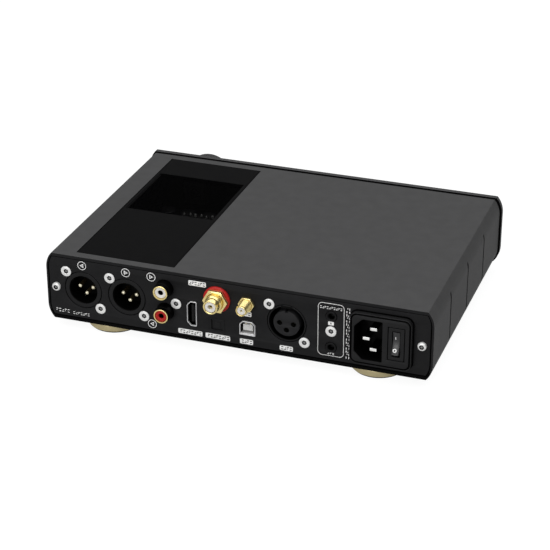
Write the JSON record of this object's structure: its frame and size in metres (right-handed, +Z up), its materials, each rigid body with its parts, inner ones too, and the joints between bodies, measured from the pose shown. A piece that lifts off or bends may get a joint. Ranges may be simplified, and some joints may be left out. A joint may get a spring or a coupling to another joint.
{
  "type": "desktop dac",
  "caption": "Desktop digital-to-analogue converter: extruded case with a glass top window, a rear panel of audio, digital and mains sockets, a push-turn knob and round feet.",
  "frame": {"origin": "on the desk, under the middle of the whole object's box", "axes": "+X to the right seen from the front, +Y out of the rear panel, +Z up"},
  "size_m": [0.222, 0.1812, 0.0455],
  "materials": {
    "case": "bead-blasted, dark grey anodised",
    "facia": "bead-blasted, dark grey anodised",
    "rear_panel": "fine satin black paint",
    "gasket": "matt black",
    "window": "smoked glass with a dark printed border",
    "display_glass": "smoked, polished",
    "display": "matt black",
    "circuit_board": "solder mask with fitted parts",
    "supply_can": "folded tin plate",
    "screw": "bright nickel plate",
    "balanced_shell": "satin black",
    "balanced_pins": "gold plated contacts in a black carrier",
    "balanced_insert": "moulded, dark grey",
    "phono_body": "moulded black",
    "phono_gold": "gold plated",
    "insulator_white": "moulded, off-white",
    "insulator_red": "moulded red",
    "coaxial_gold": "gold plated",
    "antenna_gold": "gold plated",
    "port_steel": "folded, tin plated",
    "link_tongue": "moulded black",
    "usb_tongue": "moulded, off-white",
    "optical": "moulded black",
    "trigger_jack": "moulded black",
    "inlet": "moulded black, fine spark texture",
    "blade": "nickel plated",
    "rocker": "moulded dark grey",
    "knob": "turned, dark grey anodised",
    "encoder_metal": "machined",
    "encoder_plastic": "moulded black",
    "foot_ring": "turned, champagne anodised",
    "foot_pad": "matt black rubber"
  },
  "bodies": {
    "chassis": {"case_shell": "case", "front_panel": "facia", "rear_panel": "rear_panel", "front_gasket": "gasket", "top_window": "window", "display_lens": "display_glass", "display_module": "display", "main_board": "circuit_board", "power_supply": "supply_can", "output_r_screw_upper": "screw", "output_r_screw_lower": "screw", "output_l_screw_upper": "screw", "output_l_screw_lower": "screw", "phono_screw": "screw", "input_screw_upper": "screw", "input_screw_lower": "screw", "trigger_screw": "screw", "panel_screw_right": "screw", "panel_screw_left": "screw", "balanced_output_r_shell": "balanced_shell", "balanced_output_l_shell": "balanced_shell", "balanced_input_shell": "balanced_shell", "balanced_output_r_pins": "balanced_pins", "balanced_output_l_pins": "balanced_pins", "balanced_input_insert": "balanced_insert", "phono_body": "phono_body", "phono_shell_l": "phono_gold", "phono_shell_r": "phono_gold", "phono_insulator_l": "insulator_white", "coaxial_insulator": "insulator_white", "antenna_dielectric": "insulator_white", "phono_insulator_r": "insulator_red", "coaxial_washer": "insulator_red", "coaxial_nut": "coaxial_gold", "coaxial_barrel": "coaxial_gold", "antenna_nut": "antenna_gold", "antenna_barrel": "antenna_gold", "link_port_shell": "port_steel", "usb_port_shell": "port_steel", "link_port_tongue": "link_tongue", "usb_port_tongue": "usb_tongue", "optical_port_body": "optical", "trigger_jack_upper": "trigger_jack", "trigger_jack_lower": "trigger_jack", "mains_inlet_body": "inlet", "mains_inlet_blades": "blade", "encoder_body": "encoder_metal", "foot_ring_rear_right": "foot_ring", "foot_ring_rear_left": "foot_ring", "foot_ring_front_right": "foot_ring", "foot_ring_front_left": "foot_ring", "foot_pad_rear_right": "foot_pad", "foot_pad_rear_left": "foot_pad", "foot_pad_front_right": "foot_pad", "foot_pad_front_left": "foot_pad"},
    "encoder_plunger": {"encoder_plunger": "encoder_plastic"},
    "knob": {"knob": "knob", "encoder_shaft": "encoder_metal"},
    "power_rocker": {"power_rocker": "rocker"},
    "optical_shutter": {"optical_port_shutter": "optical"}
  },
  "joints": [
    {"name": "knob_push", "type": "slide", "parent": "chassis", "child": "encoder_plunger", "axis": [0, 1, 0], "range_m": [0, 0.0005], "stiffness_N_per_m": 1500, "springref_m": -0.0015},
    {"name": "knob_turn", "type": "hinge", "parent": "encoder_plunger", "child": "knob", "pos_m": [0.0786, -0.0833, 0.025], "axis": [0, -1, 0], "continuous": true},
    {"name": "rocker_tilt", "type": "hinge", "parent": "chassis", "child": "power_rocker", "pos_m": [-0.0908, 0.0798, 0.025], "axis": [1, 0, 0], "range_deg": [-24, 0]},
    {"name": "shutter_swing", "type": "hinge", "parent": "chassis", "child": "optical_shutter", "pos_m": [0.0098, 0.07905, 0.0196], "axis": [1, 0, 0], "range_deg": [-80, 0], "stiffness_Nm_per_rad": 0.00002, "springref_deg": 17.19}
  ]
}
